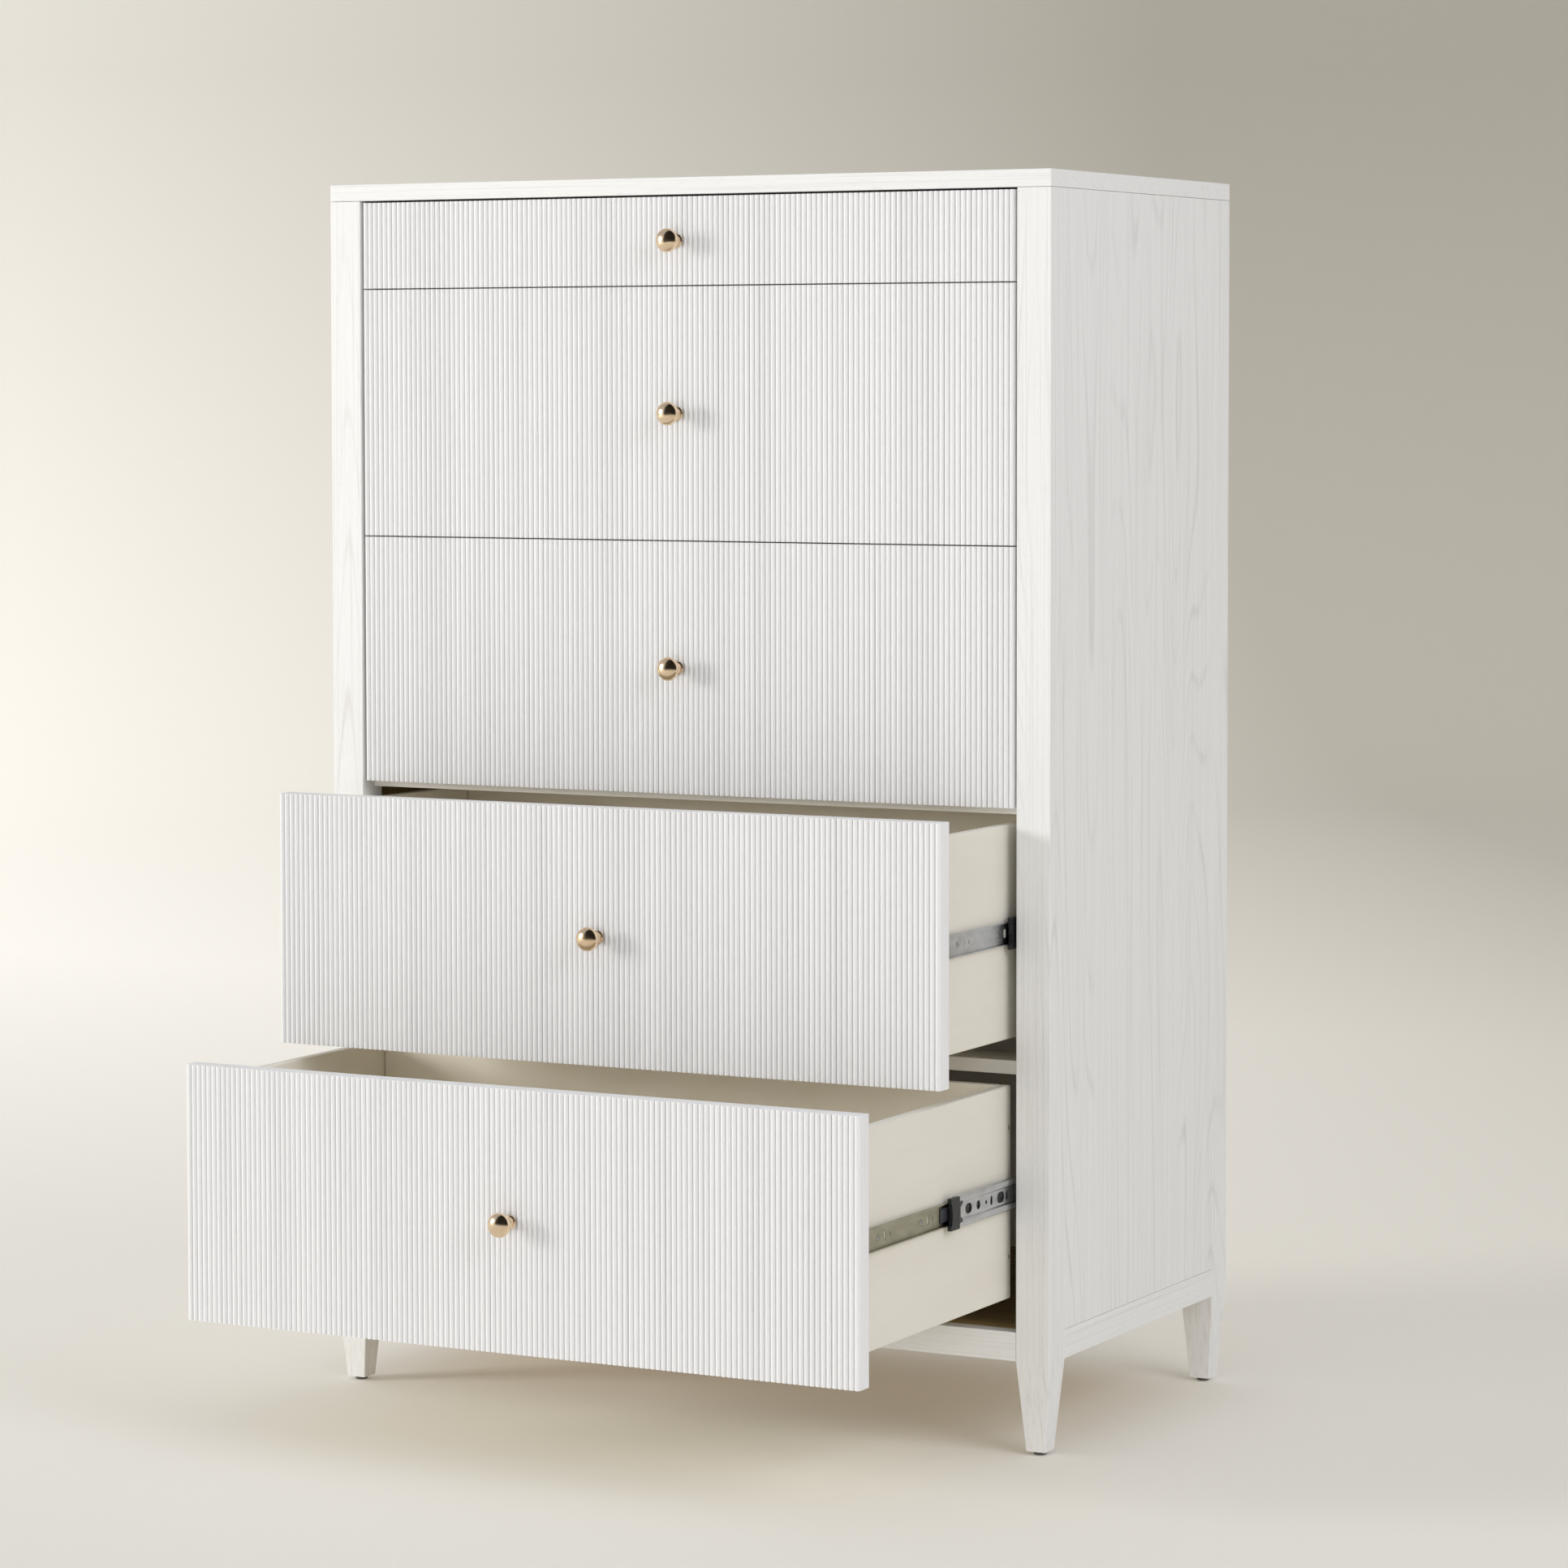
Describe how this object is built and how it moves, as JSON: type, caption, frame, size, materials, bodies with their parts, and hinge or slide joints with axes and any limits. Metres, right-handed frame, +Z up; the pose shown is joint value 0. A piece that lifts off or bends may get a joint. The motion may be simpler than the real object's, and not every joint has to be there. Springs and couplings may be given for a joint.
{
  "type": "chest of drawers",
  "caption": "Tall chest of drawers with upright reeded fronts, ball knobs, tapered legs and ball-bearing runners; the lowest drawers stand part open.",
  "frame": {"origin": "on the floor, under the middle of the box round the whole object as stored, open drawers included", "axes": "+X to the right as one faces the drawers, +Y from the fronts to the back, +Z up"},
  "size_m": [0.914, 0.8838, 1.389],
  "materials": {
    "white_wood": "satin white paint over a faint upright grain",
    "white_reeds": "satin white paint on reeded wood",
    "cream_wood": "satin cream lacquer",
    "tan_wood": "matt tan wood",
    "runner_steel": "zinc plated",
    "knob_brass": "polished champagne brass"
  },
  "bodies": {
    "carcass": {"top_panel": "white_wood", "post_front_left": "white_wood", "post_front_right": "white_wood", "post_rear_left": "white_wood", "post_rear_right": "white_wood", "side_panel_left": "white_wood", "side_panel_right": "white_wood", "side_rail_left": "white_wood", "side_rail_right": "white_wood", "front_rail": "white_wood", "back_and_floor": "cream_wood", "divider_1": "tan_wood", "divider_2": "tan_wood", "divider_3": "tan_wood", "divider_4": "tan_wood", "outer_runner_1_left": "runner_steel", "outer_runner_1_right": "runner_steel", "outer_runner_2_left": "runner_steel", "outer_runner_2_right": "runner_steel", "outer_runner_3_left": "runner_steel", "outer_runner_3_right": "runner_steel", "outer_runner_4_left": "runner_steel", "outer_runner_4_right": "runner_steel", "outer_runner_5_left": "runner_steel", "outer_runner_5_right": "runner_steel"},
    "drawer_1": {"drawer_front_1": "white_reeds", "drawer_box_1": "cream_wood", "knob_1": "knob_brass", "inner_runner_1_left": "runner_steel", "inner_runner_1_right": "runner_steel"},
    "middle_runners_1": {"middle_runner_1_left": "runner_steel", "middle_runner_1_right": "runner_steel"},
    "drawer_2": {"drawer_front_2": "white_reeds", "drawer_box_2": "cream_wood", "knob_2": "knob_brass", "inner_runner_2_left": "runner_steel", "inner_runner_2_right": "runner_steel"},
    "middle_runners_2": {"middle_runner_2_left": "runner_steel", "middle_runner_2_right": "runner_steel"},
    "drawer_3": {"drawer_front_3": "white_reeds", "drawer_box_3": "cream_wood", "knob_3": "knob_brass", "inner_runner_3_left": "runner_steel", "inner_runner_3_right": "runner_steel"},
    "middle_runners_3": {"middle_runner_3_left": "runner_steel", "middle_runner_3_right": "runner_steel"},
    "drawer_4": {"drawer_front_4": "white_reeds", "drawer_box_4": "cream_wood", "knob_4": "knob_brass", "inner_runner_4_left": "runner_steel", "inner_runner_4_right": "runner_steel"},
    "middle_runners_4": {"middle_runner_4_left": "runner_steel", "middle_runner_4_right": "runner_steel"},
    "drawer_5": {"drawer_front_5": "white_reeds", "drawer_box_5": "cream_wood", "knob_5": "knob_brass", "inner_runner_5_left": "runner_steel", "inner_runner_5_right": "runner_steel"},
    "middle_runners_5": {"middle_runner_5_left": "runner_steel", "middle_runner_5_right": "runner_steel"}
  },
  "joints": [
    {"name": "drawer_1_slide", "type": "slide", "parent": "carcass", "child": "drawer_1", "axis": [0, -1, 0], "range_m": [0, 0.37]},
    {"name": "middle_runners_1_slide", "type": "slide", "parent": "carcass", "child": "middle_runners_1", "axis": [0, -1, 0], "range_m": [0, 0.185]},
    {"name": "drawer_2_slide", "type": "slide", "parent": "carcass", "child": "drawer_2", "axis": [0, -1, 0], "range_m": [0, 0.37]},
    {"name": "middle_runners_2_slide", "type": "slide", "parent": "carcass", "child": "middle_runners_2", "axis": [0, -1, 0], "range_m": [0, 0.185]},
    {"name": "drawer_3_slide", "type": "slide", "parent": "carcass", "child": "drawer_3", "axis": [0, -1, 0], "range_m": [0, 0.37]},
    {"name": "middle_runners_3_slide", "type": "slide", "parent": "carcass", "child": "middle_runners_3", "axis": [0, -1, 0], "range_m": [0, 0.185]},
    {"name": "drawer_4_slide", "type": "slide", "parent": "carcass", "child": "drawer_4", "axis": [0, -1, 0], "range_m": [-0.1795, 0.1905]},
    {"name": "middle_runners_4_slide", "type": "slide", "parent": "carcass", "child": "middle_runners_4", "axis": [0, -1, 0], "range_m": [-0.08975, 0.09525]},
    {"name": "drawer_5_slide", "type": "slide", "parent": "carcass", "child": "drawer_5", "axis": [0, -1, 0], "range_m": [-0.365, 0.005]},
    {"name": "middle_runners_5_slide", "type": "slide", "parent": "carcass", "child": "middle_runners_5", "axis": [0, -1, 0], "range_m": [-0.1825, 0.0025]}
  ],
  "couplings": [
    {"joint": "middle_runners_1_slide", "follows": "drawer_1_slide", "ratio": 0.5},
    {"joint": "middle_runners_2_slide", "follows": "drawer_2_slide", "ratio": 0.5},
    {"joint": "middle_runners_3_slide", "follows": "drawer_3_slide", "ratio": 0.5},
    {"joint": "middle_runners_4_slide", "follows": "drawer_4_slide", "ratio": 0.5},
    {"joint": "middle_runners_5_slide", "follows": "drawer_5_slide", "ratio": 0.5}
  ]
}
